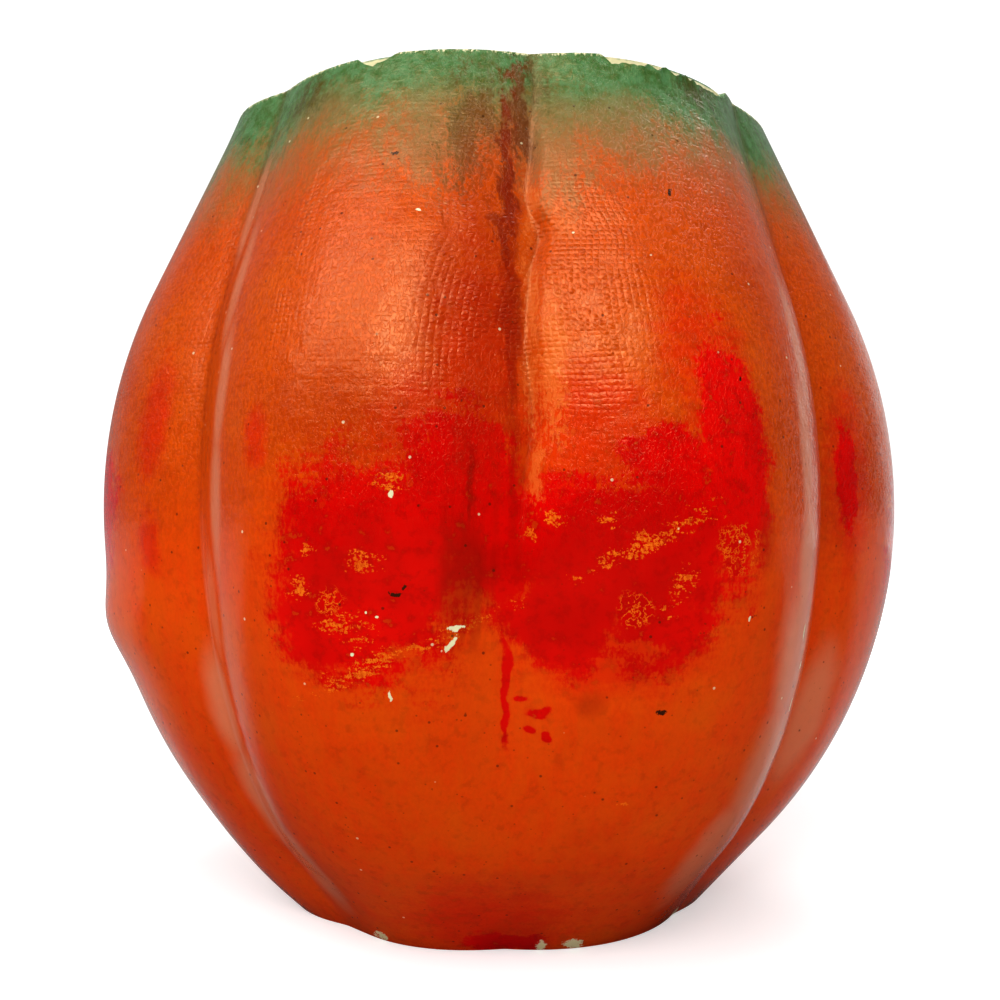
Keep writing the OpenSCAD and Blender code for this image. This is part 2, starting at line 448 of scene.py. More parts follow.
def fibre_group():
    """Shader group of a fibrous surface: its two shades, and its fibres, which may be drawn out."""
    tree = bpy.data.node_groups.new("fibres", "ShaderNodeTree")
    declare(tree, "INPUT", "Vector", "Place", "Draw")
    declare(tree, "INPUT", "Float", "Waves", "Detail", "Rough", "Low", "High")
    declare(tree, "INPUT", "Color", "Light", "Dark")
    declare(tree, "OUTPUT", "Color", "Colour")
    declare(tree, "OUTPUT", "Float", "Fibres")
    given = add(tree, "NodeGroupInput").outputs
    drawn = add(tree, "ShaderNodeMapping", {"Vector": given["Place"], "Scale": given["Draw"]})
    fibres = noise(tree, drawn.outputs[0], given["Waves"], given["Detail"], given["Rough"])
    shades = mix(ramp(fibres, given["Low"], given["High"]), given["Light"], given["Dark"])
    set_inputs(tree, add(tree, "NodeGroupOutput"), {"Colour": shades, "Fibres": fibres})
    return tree


FIBRES = fibre_group()


def fibrous(tree, place, waves, rough, low, high, light, dark, draw=(1.0, 1.0, 1.0), detail=6.0):
    """The fibre group in a material: its colour, and its fibres as a wire."""
    made = add(tree, "ShaderNodeGroup",
               {"Place": place, "Draw": draw, "Waves": waves, "Detail": detail, "Rough": rough,
                "Low": low, "High": high, "Light": light, "Dark": dark}, node_tree=FIBRES)
    return made.outputs["Colour"], Wire(tree, made.outputs["Fibres"])


CREAM = paint(226, 220, 176)
OLD_CREAM = paint(205, 190, 138)
BARE_FIBRE = paint(150, 125, 80)
RIM_GREEN = paint(72, 128, 92)
RIM_DARK_GREEN = paint(48, 92, 66)
PAINTED_FROM = BODY_H - 0.25 * MM
PAINTED_FULL = BODY_H - 0.05 * MM


def pulp_finish():
    material, tree, shader, place = new_material("pulp")
    green, fibres = fibrous(tree, place, 900, 0.65, 0.3, 0.7, RIM_GREEN, RIM_DARK_GREEN)
    blotches = noise(tree, place, 140, 3)
    ground = mix(ramp(blotches, 0.35, 0.7), CREAM, OLD_CREAM)
    ground = mix(ramp(fibres, 0.62, 0.75) * 0.5, ground, BARE_FIBRE)
    on_top = ramp(axes(tree, place)[2], PAINTED_FROM, PAINTED_FULL)
    brushed = ramp(blotches + fibres * 0.6, 0.72, 0.84)
    set_inputs(tree, shader, {"Base Color": mix(on_top * (1.0 - brushed), ground, green),
                              "Roughness": 0.72 + fibres * 0.2})
    bumped(tree, shader, TreeMaths(tree).maximum(fibres, 0.45) + blotches, 0.12 * MM, 0.6)
    return material


pulp = pulp_finish()
whole_lobes = [(lobe, GROOVES[lobe], GROOVES[lobe + 1]) for lobe in range(len(LOBES))]
right_half = whole_lobes[:3] + [(3, GROOVES[3], CRESTS[3])]
left_half = [(3, CRESTS[3], GROOVES[4])] + whole_lobes[4:]
stand_for(pulp_half("pulp_half_right", right_half), "right_shell", pulp)
stand_for(pulp_half("pulp_half_left", left_half), "left_shell", pulp)

# Painted cloth gores
# Each lobe is covered by one gore of plain-woven muslin, pasted down to the pulp with an edge in
# each groove, then painted: orange all over, red on the bellies, green at the rim. The front right
# gore's edge lies over its neighbour's as a raised hem. The paint is worn, scratched and chipped.
THREADS_ACROSS = 0.53 * MM
THREADS_UP = 0.42 * MM
GORE_COLUMNS = 121
GORE_ROWS = 261
EDGE_CROWDING = 0.12
HEM_RISE = 1.1 * MM

# Places where cloth has broken off the rim: (direction in degrees, half width, depth in millimetres),
# and the lip that curls out there: (direction in degrees, half width, rise, depth)
RIM_CHIPS = [(337.5, 3.6, 0.9), (24, 7.5, 0.9), (39, 9.5, 1.0), (98, 4.0, 0.7),
             (171, 5.5, 0.9), (262, 3.0, 0.8)]
RIM_RAGGED = 0.12 * MM
CHIP_EDGE = math.radians(2.2)
LIP = (29, 8.5, 0.5 * MM, 0.9 * MM)


def rim_drop(m, tree, direction):
    """How far the broken edge of the cloth lies below the rim."""
    along = add(tree, "ShaderNodeTexNoise",
                {"W": direction, "Scale": 28.0, "Detail": 4.0, "Roughness": 0.7}, noise_dimensions="1D")
    ragged = Wire(tree, along.outputs["Fac"])
    drop = ragged * RIM_RAGGED
    for at, half_width, depth in RIM_CHIPS:
        away = m.abs(direction - math.radians(at))
        broken = unit(m, (math.radians(half_width) - away) / CHIP_EDGE)
        drop = drop + broken * (ragged * 1.6 + 0.2) * (depth * MM)
    return drop


def hand_over(tree, shape, material):
    """Ends a geometry tree: what it made, as real faces of one material."""
    real = add(tree, "GeometryNodeRealizeInstances", {"Geometry": shape})
    dressed = add(tree, "GeometryNodeSetMaterial", {"Geometry": real.outputs[0], "Material": material})
    tree.links.new(dressed.outputs[0], add(tree, "NodeGroupOutput").inputs[0])


FORM = ("Crest", "Groove before", "Groove after", "Hem", "Thickness")
PASTE = ("Round before", "Closing before", "Round after", "Closing after")


def gore_tree():
    """Node tree of one gore: a grid laid over a lobe, thickened to the pulp under it."""
    tree = bpy.data.node_groups.new("gore", "GeometryNodeTree")
    declare(tree, "OUTPUT", "Geometry", "Geometry")
    declare(tree, "INPUT", "Float", *FORM, *PASTE)
    declare(tree, "INPUT", "Int", "Columns", "Rows")
    declare(tree, "INPUT", "Material", "Material")
    given = add(tree, "NodeGroupInput").outputs
    m = TreeMaths(tree)
    crest, before, after, hem, thick = [Wire(tree, given[name]) for name in FORM]
    paste = [Wire(tree, given[name]) for name in PASTE]
    grid = add(tree, "GeometryNodeMeshGrid", {
        "Size X": 1.0, "Size Y": 1.0, "Vertices X": given["Columns"], "Vertices Y": given["Rows"]})
    flat_x, flat_y, _ = axes(tree, add(tree, "GeometryNodeInputPosition").outputs[0])
    across = flat_x + 0.5
    across = across - m.sin(across * math.tau) * EDGE_CROWDING
    direction = before + across * (after - before)
    top = BODY_H - rim_drop(m, tree, direction)
    height = (flat_y + 0.5) * top
    x, y, turn, radius = lobe_point(m, crest, before, after, direction, height, 0.0, hem, paste)
    lip_at, lip_half, lip_rise, lip_depth = LIP
    aside = (direction - math.radians(lip_at)) / math.radians(lip_half)
    curl = m.exp(-1.0 * aside * aside * aside * aside + (height - top) / lip_depth) * lip_rise
    swell = 1.0 + curl / radius
    outer = joined(tree, x * swell, y * swell, height)
    x_in, y_in, _, _ = lobe_point(m, crest, before, after, direction, height, thick, hem, paste)
    inner = joined(tree, x_in * swell, y_in * swell, height)
    rise = m.abs(height - BELLY_Z)
    lean = choose(height > BELLY_Z, RIM_LEAN, FOOT_LEAN)
    bent = m.minimum(m.arcsin(rise / CREST_ARC_R), lean)
    flank = (rise - CREST_ARC_R * m.sin(bent)) / m.cos(bent)
    up = choose(height > BELLY_Z, 1.0, -1.0) * (bent * CREST_ARC_R + m.maximum(flank, 0.0))
    cloth = joined(tree, turn * LOBE_R, up, 0.0)
    groove_way = m.minimum((direction - before) * radius, (after - direction) * radius)
    mesh = grid.outputs["Mesh"]
    for name, kind, domain, value in (("UVMap", "FLOAT2", "CORNER", cloth),
                                      ("groove_way", "FLOAT", "POINT", groove_way),
                                      ("inner", "FLOAT_VECTOR", "POINT", inner)):
        stored = add(tree, "GeometryNodeStoreNamedAttribute",
                     {"Geometry": mesh, "Name": name}, data_type=kind, domain=domain)
        plug(tree, stored.inputs["Value"], value)
        mesh = stored.outputs[0]
    outside = add(tree, "GeometryNodeSetPosition", {"Geometry": mesh, "Position": outer})
    kept = add(tree, "GeometryNodeInputNamedAttribute", {"Name": "inner"}, data_type="FLOAT_VECTOR")
    here = add(tree, "GeometryNodeInputPosition")
    inward = add(tree, "ShaderNodeVectorMath", {0: kept.outputs[0], 1: here.outputs[0]},
                 operation="SUBTRACT")
    walls = add(tree, "GeometryNodeExtrudeMesh", {
        "Mesh": outside.outputs[0], "Offset": inward.outputs[0], "Offset Scale": 1.0, "Individual": False})
    turned = add(tree, "GeometryNodeFlipFaces", {"Mesh": walls.outputs["Mesh"]})
    both = add(tree, "GeometryNodeJoinGeometry")
    tree.links.new(outside.outputs[0], both.inputs[0])
    tree.links.new(turned.outputs[0], both.inputs[0])
    closed = add(tree, "GeometryNodeMergeByDistance", {"Geometry": both.outputs[0], "Distance": 0.002 * MM})
    clean = add(tree, "GeometryNodeRemoveAttribute", {"Geometry": closed.outputs[0], "Name": "inner"})
    hand_over(tree, clean.outputs[0], given["Material"])
    return tree


def grown(name, tree, values, crease=35):
    """An object made by a node tree from named values, settled to a plain mesh."""
    maker = placed(name, bpy.data.meshes.new(name))
    modifier = maker.modifiers.new(name, "NODES")
    modifier.node_group = tree
    for socket in tree.interface.items_tree:
        if socket.in_out == "INPUT":
            modifier[socket.identifier] = values[socket.name]
    settle(maker)
    return smoothed(maker, crease)


def settle(maker):
    """Turns what an object's modifiers make into its plain mesh."""
    view = bpy.context.evaluated_depsgraph_get()
    maker.data = bpy.data.meshes.new_from_object(maker.evaluated_get(view))
    maker.modifiers.clear()


# Paint on the gores. A dab is (direction in degrees, height, half width, half height, tilt in
# degrees), in millimetres, as the brush or the wear left it, or where shade or a highlight is painted in.
RED_DABS = [
    (-14.6, 33, 7.8, 9.4, 12), (-19.5, 29.5, 4.6, 6.2, 20), (-5, 38, 4.6, 8.6, 0),
    (0.6, 34, 2.6, 6.4, 0), (7.5, 29, 4.8, 4.4, 0), (0.6, 24.6, 0.36, 5.2, 0), (-1, 1, 4.4, 1.6, 0),
    (2.6, 23.4, 0.7, 0.34, -8), (4.6, 22.4, 0.9, 0.42, 14), (3.2, 20.9, 0.6, 0.4, -16),
    (6, 20.6, 0.45, 0.6, 30), (8, 34.8, 6, 5.6, -14), (18.5, 33, 6.2, 8.6, -8),
    (26.5, 41, 3.4, 10.5, 6), (18, 40.5, 4.4, 3, 14), (59.4, 40, 1.6, 6, 0), (80, 34, 6.5, 8, 10),
    (95, 37, 6, 8, -10), (292, 37, 5.5, 6.5, -8), (124, 36.5, 6.4, 8.2, 12), (140, 33, 6, 8.6, -10),
    (176, 34, 5.4, 8, -12), (190, 38, 7, 7.6, 8), (200, 31, 4.6, 6.6, 0), (230, 38.5, 5, 8.8, 8),
    (244, 34.5, 7, 8, -14)]
GLAZE_DABS = [
    (10, 42, 7, 5.5, 0), (24, 46.5, 4, 7.5, 14), (-3, 46, 3.4, 11, 0), (-8, 42.5, 4.6, 6, -30),
    (-28.5, 42.2, 1.3, 2.6, 0), (-52.4, 44.5, 2, 5.6, 0), (-52.4, 34.4, 1.4, 3, 0),
    (60, 40, 3, 9, 0), (14, 27, 6, 4, 0), (-4, 3, 8, 5, 0), (283, 32, 5, 7, 10),
    (147, 44, 4, 7, 25), (251, 43, 4, 7, 0), (182, 43, 5, 6, 0), (96, 41, 5, 7, 0)]
WEAR_DABS = [
    (-12.4, 38.8, 0.9, 0.6, 10), (-21, 34.4, 0.4, 0.7, 0), (-15, 33.2, 1, 0.6, 15),
    (-22.6, 31.4, 0.8, 0.8, 0), (-17.6, 28.8, 1.6, 0.9, -20), (16.6, 34.8, 4.2, 0.6, 27),
    (19.6, 31.4, 0.7, 1.4, -30), (6.4, 36.4, 0.6, 0.5, 0), (3.2, 34.8, 0.4, 0.5, 30),
    (-12, 26.5, 6.9, 0.34, 24), (-16, 25.6, 2.4, 0.6, 22), (12, 36.2, 0.7, 0.4, 0),
    (128, 33, 2, 0.6, 35), (143, 37, 0.8, 1, 0), (186, 33, 1.4, 0.7, -20), (196, 38, 3.4, 0.4, -32),
    (233, 33, 1, 0.6, 10), (247, 37, 2.6, 0.5, 20), (290, 35, 1, 0.7, 0), (72, 38, 1, 0.7, 0),
    (16, 15.2, 0.4, 0.4, 0)]
# Chips to the cream ground; the three along the right groove are also painted glints
CREAM_FLECKS_AND_GLINTS = [
    (-6.2, 27.5, 0.8, 0.2, 50), (-5.3, 28.5, 0.6, 0.12, 14), (-12.6, 23.8, 0.12, 0.3, 0),
    (-12.2, 38, 0.2, 0.3, 0), (-14.6, 29.8, 0.1, 0.1, 0), (-13.4, 29.4, 0.1, 0.1, 0),
    (-16.6, 26.9, 0.12, 0.12, 0), (-30.6, 0.5, 0.7, 0.5, 0), (9.4, 0.5, 0.55, 0.45, 0),
    (17.4, 0.5, 0.9, 0.5, 0), (120, 0.4, 1.2, 0.6, 0), (206, 0.4, 1, 0.7, 0),
    (262, 0.4, 1.4, 0.6, 0), (55, 0.4, 0.8, 0.5, 0), (28.8, 29.1, 0.12, 0.2, 0),
    (42, 27.6, 0.14, 0.5, 12), (43.6, 24.6, 0.12, 0.4, -10), (44.2, 21.4, 0.1, 0.5, 8),
    (-10.5, 58.8, 0.12, 0.1, 0), (9.5, 57.5, 0.1, 0.1, 0)]
DARK_FLECKS = [
    (-11.6, 31.2, 0.5, 0.16, 10), (-10.6, 31.8, 0.3, 0.1, 45), (19.4, 22.3, 0.34, 0.26, 30),
    (-16, 64, 0.3, 0.2, 0), (23.2, 61, 0.28, 0.26, 0), (27.6, 46.5, 0.14, 0.14, 0),
    (131, 25, 0.3, 0.2, 0), (185, 58, 0.3, 0.2, 20), (240, 23, 0.35, 0.2, 0)]
RUST_DABS = [
    (2.6, 67.4, 1.5, 6.6, 0), (0.4, 61, 1.1, 6, 0), (110, 66, 1.5, 5, 0), (214, 67, 1.4, 5.6, 0)]
HAZE_DABS = [
    (-10, 65.5, 5, 6.6, 0), (-31, 69.5, 4.6, 3.2, 0), (8, 65, 5.6, 7.6, 0), (19, 66.5, 4.6, 5, 0),
    (185, 66, 6, 5, 0), (130, 66, 5, 4, 0), (240, 66, 5, 5, 0)]
MOSS_DABS = [
    (-5, 66, 3, 7.2, 0), (-37, 71, 3.2, 2.6, 0), (36, 71.5, 3.4, 2.2, 0), (6.6, 71, 1.4, 3.6, 0),
    (160, 67.5, 2.2, 4.6, 0), (267, 68, 2, 4, 0), (84, 68, 3, 2.4, 0)]
# Painted shade: dark red-brown deep in the front groove left of the hem, and in two rear grooves
GROOVE_SHADE_DABS = [
    (1.2, 54, 1, 22, 0), (-3.4, 38, 0.5, 6, 0), (-4, 33, 2.6, 7, 0), (108, 52, 1.2, 18, 0),
    (213, 50, 1.2, 19, 0)]
# The hem's ridge: worn paint, and a painted highlight where the fold catches the light
RIDGE_WEAR_AND_HIGHLIGHT_DABS = [
    (6.2, 47, 1.3, 7, 0), (4, 60, 0.6, 4.4, 0), (3.7, 52.5, 0.8, 5.4, 0), (3.9, 45.5, 0.8, 4.2, 0),
    (4, 40, 0.5, 3.4, 0)]
# Painted shade: darker orange beside the grooves and below the highlights
SHADED_DABS = [
    (-18, 44, 9, 7, 0), (-7, 52, 3, 12, 0), (-2.6, 54, 4, 22, 0), (10.4, 23, 1.8, 1.4, 0),
    (30.5, 35, 1.4, 4, 0), (105, 52, 3.4, 18, 0), (210, 50, 3.4, 19, 0)]
THIN_DABS = [
    (9, 50, 6, 13, 0), (-6, 54, 2, 9, 0), (-5, 66, 2.4, 5, 0), (-27, 55, 1.2, 8, 0),
    (128, 54, 6, 10, 0), (180, 56, 6, 10, 0), (236, 54, 6, 10, 0), (290, 54, 5, 9, 0)]
# Painted reflection: pale pink along the groove shoulders for the gloss mirroring the bright surround,
# partly paler worn paint
GROOVE_SHEEN_DABS = [
    (-44.5, 62, 1.2, 6, 0), (-39.5, 54.5, 1.6, 6.5, 0), (-37, 46, 1.6, 7, 0), (-37, 38, 1.6, 7, 0),
    (-40.6, 29.5, 1.9, 6, 0), (-43.6, 21.5, 2.5, 7, 0), (-42.4, 13.5, 3, 6.5, 0),
    (-38.8, 6.5, 3, 5.5, 0), (41.5, 50, 1.2, 7, 0), (39.4, 41.5, 1.4, 7, 0), (40, 33, 2, 7, 0),
    (40, 25.5, 4, 8, 0), (40, 17, 4.6, 8, 0), (37, 9, 4.2, 7, 0), (59, 19, 3.2, 9, 0),
    (112, 30, 1.8, 20, 0), (164, 30, 1.8, 20, 0), (217, 30, 1.8, 20, 0), (261, 30, 1.8, 20, 0)]
CRACKED_DABS = [
    (26.8, 34.2, 2.4, 2.4, 0), (15, 30, 1.6, 1.4, 0), (-19, 30.6, 1.4, 1.1, 0),
    (142, 31, 2.2, 2, 0), (193, 29, 2, 2.2, 0), (240, 30, 2.4, 1.8, 0)]

DAB_R = 32.0 * MM
NOTHING = 1e-12

# The paints, as daylight shows them, and the painted shade, highlights and glints
ORANGE = paint(220, 70, 2)
DEEP_ORANGE = paint(198, 54, 0)
UPPER_ORANGE = paint(206, 80, 6)
DULL_ORANGE = paint(182, 46, 0)
LIGHT_ORANGE = paint(214, 96, 6)
CRUMB_BROWN = paint(150, 52, 2)
SPECK_BROWN = paint(150, 50, 4)
PAINTED_GLINT_ORANGE = paint(216, 90, 6)
RUN_ORANGE = paint(208, 88, 8)
RED = paint(220, 2, 0)
DEEP_RED = paint(188, 0, 0)
DARK_RED = paint(160, 0, 0)
WORN_LIGHT = paint(236, 126, 28)
WORN_DARK = paint(208, 84, 10)
LEAF_GREEN = paint(88, 132, 84)
DEEP_GREEN = paint(68, 104, 50)
FADED_GREEN = paint(146, 106, 56)
HAZE = paint(140, 106, 62)
MOSS = paint(78, 66, 16)
RUST = paint(104, 46, 16)
SHADE = paint(160, 38, 2)
GROOVE_SHADE_BROWN = paint(132, 14, 2)
RIDGE_WORN_HIGHLIGHT_ORANGE = paint(226, 112, 44)
GROOVE_DARK = paint(96, 26, 8)
PAINTED_SHEEN_PINK = paint(210, 130, 96)
PORE_BROWN = paint(112, 34, 6)
FLECK_BLACK = paint(58, 26, 12)
GLOSS_TINT = (1.0, 0.61, 0.31, 1.0)

# Heights between which one state of the paint gives way to the other
BLOTCHED = 10 * MM
ROUGHER_FROM = (34 * MM, 50 * MM)
WEAVE_FROM = (44 * MM, 56 * MM)
WEAVE_TO = (BODY_H, BODY_H - 14 * MM)
GREEN_FROM = (BODY_H - 15 * MM, BODY_H - 3 * MM)
FADED_TO = (BODY_H - 2.5 * MM, BODY_H - 10 * MM)
CHIPPED_FROM = (BODY_H - 0.2 * MM, BODY_H + 0.1 * MM)
GROOVE_DARK_REACH = 0.4 * MM


def dabbed(tree, place, dabs, after=None):
    """The most that any of the dabs covers a place, 1 in its middle and 0 at its edge, as a wire.
    A dab is an egg that stands in the wall, long from inside to outside, so that its skin cuts the
    wall in a tilted oval. A list waits for the wire after, because the renderer has room for the
    eggs of one list at a time."""
    m = TreeMaths(tree)
    if after:
        place = add(tree, "ShaderNodeVectorMath", {0: after, 1: (NOTHING,) * 3, 2: place},
                    operation="MULTIPLY_ADD").outputs[0]
    nearest = None
    for direction, high, wide, tall, tilt in dabs:
        turn = math.radians(direction)
        egg = add(tree, "ShaderNodeMapping", {
            "Vector": place, "Location": (DAB_R * math.sin(turn), -DAB_R * math.cos(turn), high * MM),
            "Rotation": (0.0, -math.radians(tilt), turn),
            "Scale": (wide * MM, DAB_R, tall * MM)}, vector_type="TEXTURE")
        away = add(tree, "ShaderNodeVectorMath", {0: egg.outputs[0]}, operation="LENGTH")
        away = Wire(tree, away.outputs["Value"])
        nearest = away if nearest is None else m.minimum(nearest, away)
    return 1.0 - nearest


def strayed(tree, place, waves, reach):
    """A place moved about by noise, so that what is painted there gets an uneven edge."""
    made = add(tree, "ShaderNodeTexNoise", {"Vector": place, "Scale": waves, "Detail": 2.0})
    middle = add(tree, "ShaderNodeVectorMath", {0: made.outputs["Color"], 1: (0.5, 0.5, 0.5)},
                 operation="SUBTRACT")
    moved = add(tree, "ShaderNodeVectorMath", {0: middle.outputs[0], 1: (2 * reach,) * 3, 2: place},
                operation="MULTIPLY_ADD")
    return moved.outputs[0]


def sway(grain, by):
    """The swing of a grain about its middle, times by."""
    return (grain - 0.5) * by


def painted_cloth_finish():
    material, tree, shader, place = new_material("painted_cloth")
    m = TreeMaths(tree)
    height = axes(tree, place)[2]
    groove_way = Wire(tree, add(tree, "ShaderNodeAttribute", attribute_name="groove_way").outputs["Fac"])
    across, along, _ = axes(tree, add(tree, "ShaderNodeUVMap", uv_map="UVMap").outputs[0])
    blotch = noise(tree, place, 90, 3, 0.6)
    speck = noise(tree, place, 1100, 3, 0.65)
    dents = noise(tree, place, 380, 2, 0.5)
    crumb = noise(tree, place, 4000, 3, 0.7, (1.0, 1.0, 0.55))
    streaks = ramp(noise(tree, place, 420, 3, 0.65, (0.45, 0.45, 2.2)), 0.36, 0.64)
    runs = ramp(noise(tree, place, 420, 3, 0.6, (2.0, 2.0, 0.16)), 0.36, 0.64)
    crumbs = ramp(crumb, 0.36, 0.64)
    pitting = ramp(crumb, 0.54, 0.44)
    dust = ramp(noise(tree, place, 4600, 2, 0.7), 0.34, 0.66)
    smears = ramp(noise(tree, place, 1500, 2, 0.6, (0.5, 0.5, 1.6)), 0.36, 0.64)
    upper = ramp(height + blotch * BLOTCHED, *ROUGHER_FROM)

    # Weave: one knuckle at each crossing of the threads, every other one drawn out along the warp
    wavy = blotch * (1.2 * MM) + speck * (0.16 * MM)
    warp = (across + wavy) * (math.pi / THREADS_ACROSS)
    weft = (along + wavy) * (math.pi / THREADS_UP)
    knuckles = m.abs(m.sin(warp)) * m.abs(m.sin(weft)) + m.sin(warp) * m.sin(weft) * 0.22
    thin = ramp(dabbed(tree, place, THIN_DABS) + sway(blotch, 1.5), -0.3, 0.5)
    bare = ramp(height + blotch * BLOTCHED, *WEAVE_FROM) * (0.24 + thin * 0.76)
    bare = bare * ramp(height, *WEAVE_TO) * ramp(dents, 0.3, 0.56) + 0.03

    # Orange all over, deeper below; golden streaks above are painted glints of the weave
    colour = mix(streaks * (0.12 + upper * 0.5), ORANGE, DEEP_ORANGE)
    for share, tint in ((upper * 0.8, UPPER_ORANGE),
                        (ramp(blotch, 0.5, 0.75) * 0.4, DULL_ORANGE),
                        (ramp(blotch, 0.5, 0.28) * 0.45, LIGHT_ORANGE),
                        (crumbs * (upper * 0.36 + 0.12), CRUMB_BROWN),
                        (ramp(speck, 0.5, 0.72) * 0.3, SPECK_BROWN),
                        (smears * upper * 0.22, PAINTED_GLINT_ORANGE),
                        (runs * (1.0 - upper) * 0.25, RUN_ORANGE)):
        colour = mix(share, colour, tint)

    # Red on the bellies, dry-brushed at its edges and worn through
    astray = strayed(tree, place, 420, 0.9 * MM)
    red_cover = dabbed(tree, astray, RED_DABS)
    red = ramp(red_cover + sway(dents, 0.8) + sway(streaks, 0.14) + sway(crumbs, 0.16), -0.08, 0.3)
    glaze_cover = m.maximum(red_cover, dabbed(tree, astray, GLAZE_DABS, red_cover))
    glaze = ramp(glaze_cover + sway(streaks, 0.2) + sway(crumbs, 0.15), -0.3, 0.6)
    red = m.maximum(red, glaze * 0.55)
    wear_cover = dabbed(tree, astray, WEAR_DABS, red)
    cracked = ramp(dabbed(tree, astray, CRACKED_DABS, wear_cover), 0.0, 0.35)
    cracks = ramp(m.abs(speck - 0.5), 0.03, 0.01) * cracked
    wear = ramp(wear_cover + sway(dust, 1.5) + sway(smears, 1.3), 0.4, 0.9)
    worn_through = m.maximum(wear, cracks * 0.8)
    scuffs = ramp(speck + streaks * 0.1 + crumbs * 0.06, 0.74, 0.8)
    red = red * (1.0 - m.maximum(worn_through, scuffs * 0.6) * 0.9)
    red_paint = mix(ramp(blotch, 0.35, 0.7), RED, DEEP_RED)
    red_paint = mix(ramp(speck, 0.45, 0.7) * 0.5, red_paint, DARK_RED)
    colour = mix(red, colour, red_paint)
    colour = mix(worn_through * 0.8, colour, mix(crumbs, WORN_LIGHT, WORN_DARK))

    # Green at the rim, drawn down in streaks
    fade = height + sway(runs, 1.6 * MM) + sway(blotch, 6 * MM) + sway(crumbs, 1.5 * MM)
    rim_paint = mix(ramp(speck, 0.35, 0.7), LEAF_GREEN, DEEP_GREEN)
    rim_paint = mix(ramp(fade, *FADED_TO), rim_paint, FADED_GREEN)
    colour = mix(ramp(fade, *GREEN_FROM), colour, rim_paint)

    # Thin coats of haze, moss and rust, painted shade beside and in the grooves, and worn paint with a
    # painted highlight on the hem, with edges drawn out in runs or broken up in crumbs
    coat_under = worn_through
    for dabs, where, by_runs, by_crumbs, low, high, share, tint in (
            (HAZE_DABS, astray, 0.4, 0.3, 0.0, 0.8, 0.55, HAZE),
            (MOSS_DABS, astray, 0.5, 0.4, 0.0, 0.9, 0.72, MOSS),
            (RUST_DABS, astray, 0.6, 0.3, 0.05, 0.6, 0.75, RUST),
            (SHADED_DABS, place, 0.2, 0.0, 0.0, 0.9, 0.5, SHADE),
            (GROOVE_SHADE_DABS, astray, 0.3, 0.0, 0.0, 0.7, 0.55, GROOVE_SHADE_BROWN),
            (RIDGE_WEAR_AND_HIGHLIGHT_DABS, astray, 0.0, 0.8, 0.0, 0.8, 0.7, RIDGE_WORN_HIGHLIGHT_ORANGE)):
        cover = dabbed(tree, where, dabs, coat_under)
        coat_under = ramp(cover + sway(runs, by_runs) + sway(crumbs, by_crumbs), low, high)
        colour = mix(coat_under * share, colour, tint)
    # Darker close to every groove, on the upper half
    colour = mix(m.exp(groove_way / -GROOVE_DARK_REACH) * upper * 0.35, colour, GROOVE_DARK)
    # Painted reflection along the groove shoulders, partly paler worn paint
    pale = ramp(dabbed(tree, place, GROOVE_SHEEN_DABS, coat_under) + sway(blotch, 0.8), 0.0, 0.65)
    colour = mix(pale * 0.68, colour, PAINTED_SHEEN_PINK)

    # Flecks, pores and chips down to the cream ground; some flecks are also painted glints
    pits = add(tree, "ShaderNodeTexVoronoi", {"Vector": place, "Scale": 640.0}).outputs
    pit = ramp(Wire(tree, pits["Distance"]), 0.09, 0.05)
    light = axes(tree, pits["Color"])[0] > 0.88
    pores = add(tree, "ShaderNodeTexVoronoi", {"Vector": place, "Scale": 1700.0}).outputs
    pore = ramp(Wire(tree, pores["Distance"]), 0.16, 0.08) * ramp(dents, 0.5, 0.62)
    colour = mix(pore * (1.0 - upper) * 0.6, colour, PORE_BROWN)
    dark_cover = dabbed(tree, astray, DARK_FLECKS, pale)
    dark = m.maximum(ramp(dark_cover + sway(crumbs, 0.8), -0.1, 0.2), pit * (1.0 - light) * 0.7)
    colour = mix(dark, colour, FLECK_BLACK)
    near_edge = ramp(height + sway(crumbs, 0.5 * MM), *CHIPPED_FROM)
    cream_cover = dabbed(tree, astray, CREAM_FLECKS_AND_GLINTS, dark)
    cream = m.maximum(ramp(cream_cover + sway(crumbs, 0.5), -0.1, 0.15),
                      m.maximum(pit * light * 0.6, near_edge))
    set_inputs(tree, shader, {
        "Base Color": mix(cream, colour, CREAM),
        "Roughness": 0.1 + upper * dust * 0.08 + speck * 0.08 + cream * 0.3,
        "Specular IOR Level": 0.6, "Specular Tint": GLOSS_TINT})

    # Relief in millimetres, rougher on the upper half, where the paint is thin
    relief = knuckles * bare * (0.02 + crumbs * 0.05) + pitting * upper * 0.018
    relief = relief + smears * upper * 0.008 + speck * (upper * 0.03 + 0.011)
    relief = relief + dents * (upper * 0.1 + 0.03) + blotch * 0.15
    bumped(tree, shader, relief, MM)
    return material


def flat_cut(lobe):
    """Width, length and area of a gore's cut, from its lobe's tube laid flat."""
    heights = np.linspace(0, BODY_H, GORE_ROWS)
    crest, _, across = crest_line(np, heights, 0.0)
    steps = np.hypot(np.diff(crest), np.diff(heights))
    first, last = [lobe_radius(np, groove - CRESTS[lobe], heights, 0.0)[1]
                   for groove in GROOVES[lobe:lobe + 2]]
    widths = across * (last - first)
    return widths.max(), steps.sum(), np.sum((widths[1:] + widths[:-1]) / 2 * steps)


